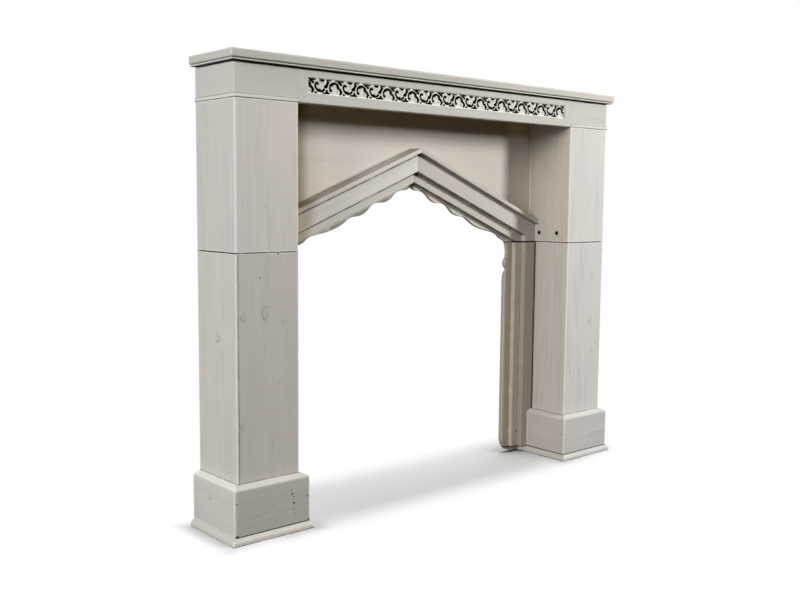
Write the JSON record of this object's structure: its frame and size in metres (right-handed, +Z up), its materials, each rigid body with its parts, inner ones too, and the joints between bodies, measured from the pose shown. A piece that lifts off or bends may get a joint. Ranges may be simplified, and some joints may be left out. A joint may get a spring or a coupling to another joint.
{
  "type": "fireplace mantel surround",
  "caption": "Painted pine mantel surround: boxed legs on splayed plinths, moulded shelf, frieze with pierced scrollwork and a recessed pointed arch with scalloped edge.",
  "frame": {"origin": "centre of the footprint, on the floor: midway between the two legs in X, midway between the wall plane and the front of the base strips in Y", "axes": "+X to the right seen from the front, -Y towards the room (the back faces +Y, against the wall), +Z up"},
  "size_m": [1.365, 0.1976, 1.1],
  "materials": {
    "painted_pine": "thin off-white greige wash over brushed pine, matt",
    "bare_pine": "planed, unfinished",
    "dark_ground": "matt black paint",
    "zinc_screw": "zinc plated"
  },
  "bodies": {
    "root": {"arch_narrow_board_left": "painted_pine", "arch_narrow_board_right": "painted_pine", "arch_outer_strip_left": "painted_pine", "arch_outer_strip_right": "painted_pine", "arch_wide_board_left": "painted_pine", "arch_wide_board_right": "painted_pine", "base_strip_front_left": "painted_pine", "base_strip_front_right": "painted_pine", "base_strip_inner_left": "painted_pine", "base_strip_inner_right": "painted_pine", "base_strip_outer_left": "painted_pine", "base_strip_outer_right": "painted_pine", "fretwork_backing": "dark_ground", "fretwork_band": "painted_pine", "frieze_board": "painted_pine", "frieze_rail": "bare_pine", "jamb_narrow_board_left": "painted_pine", "jamb_narrow_board_right": "painted_pine", "jamb_scalloped_board_left": "painted_pine", "jamb_scalloped_board_right": "painted_pine", "jamb_wide_board_left": "painted_pine", "jamb_wide_board_right": "painted_pine", "joining_screws": "zinc_screw", "leg_cap_front_left": "painted_pine", "leg_cap_front_right": "painted_pine", "leg_cap_outer_left": "painted_pine", "leg_cap_outer_right": "painted_pine", "leg_joining_block_left": "bare_pine", "leg_joining_block_right": "bare_pine", "lower_leg_front_left": "painted_pine", "lower_leg_front_right": "painted_pine", "lower_leg_glue_blocks_left": "bare_pine", "lower_leg_glue_blocks_right": "bare_pine", "lower_leg_inner_left": "painted_pine", "lower_leg_inner_right": "painted_pine", "lower_leg_outer_left": "painted_pine", "lower_leg_outer_right": "painted_pine", "panel_top_cleat": "bare_pine", "plinth_front_left": "painted_pine", "plinth_front_right": "painted_pine", "plinth_inner_left": "painted_pine", "plinth_inner_right": "painted_pine", "plinth_outer_left": "painted_pine", "plinth_outer_right": "painted_pine", "recess_panel": "painted_pine", "shelf_board": "painted_pine", "shelf_end_cleat_left": "bare_pine", "shelf_end_cleat_right": "bare_pine", "shelf_nosing_front": "painted_pine", "shelf_nosing_left": "painted_pine", "shelf_nosing_right": "painted_pine", "upper_leg_front_left": "painted_pine", "upper_leg_front_right": "painted_pine", "upper_leg_glue_blocks_left": "bare_pine", "upper_leg_glue_blocks_right": "bare_pine", "upper_leg_inner_left": "painted_pine", "upper_leg_inner_right": "painted_pine", "upper_leg_outer_left": "painted_pine", "upper_leg_outer_right": "painted_pine"}
  },
  "joints": []
}
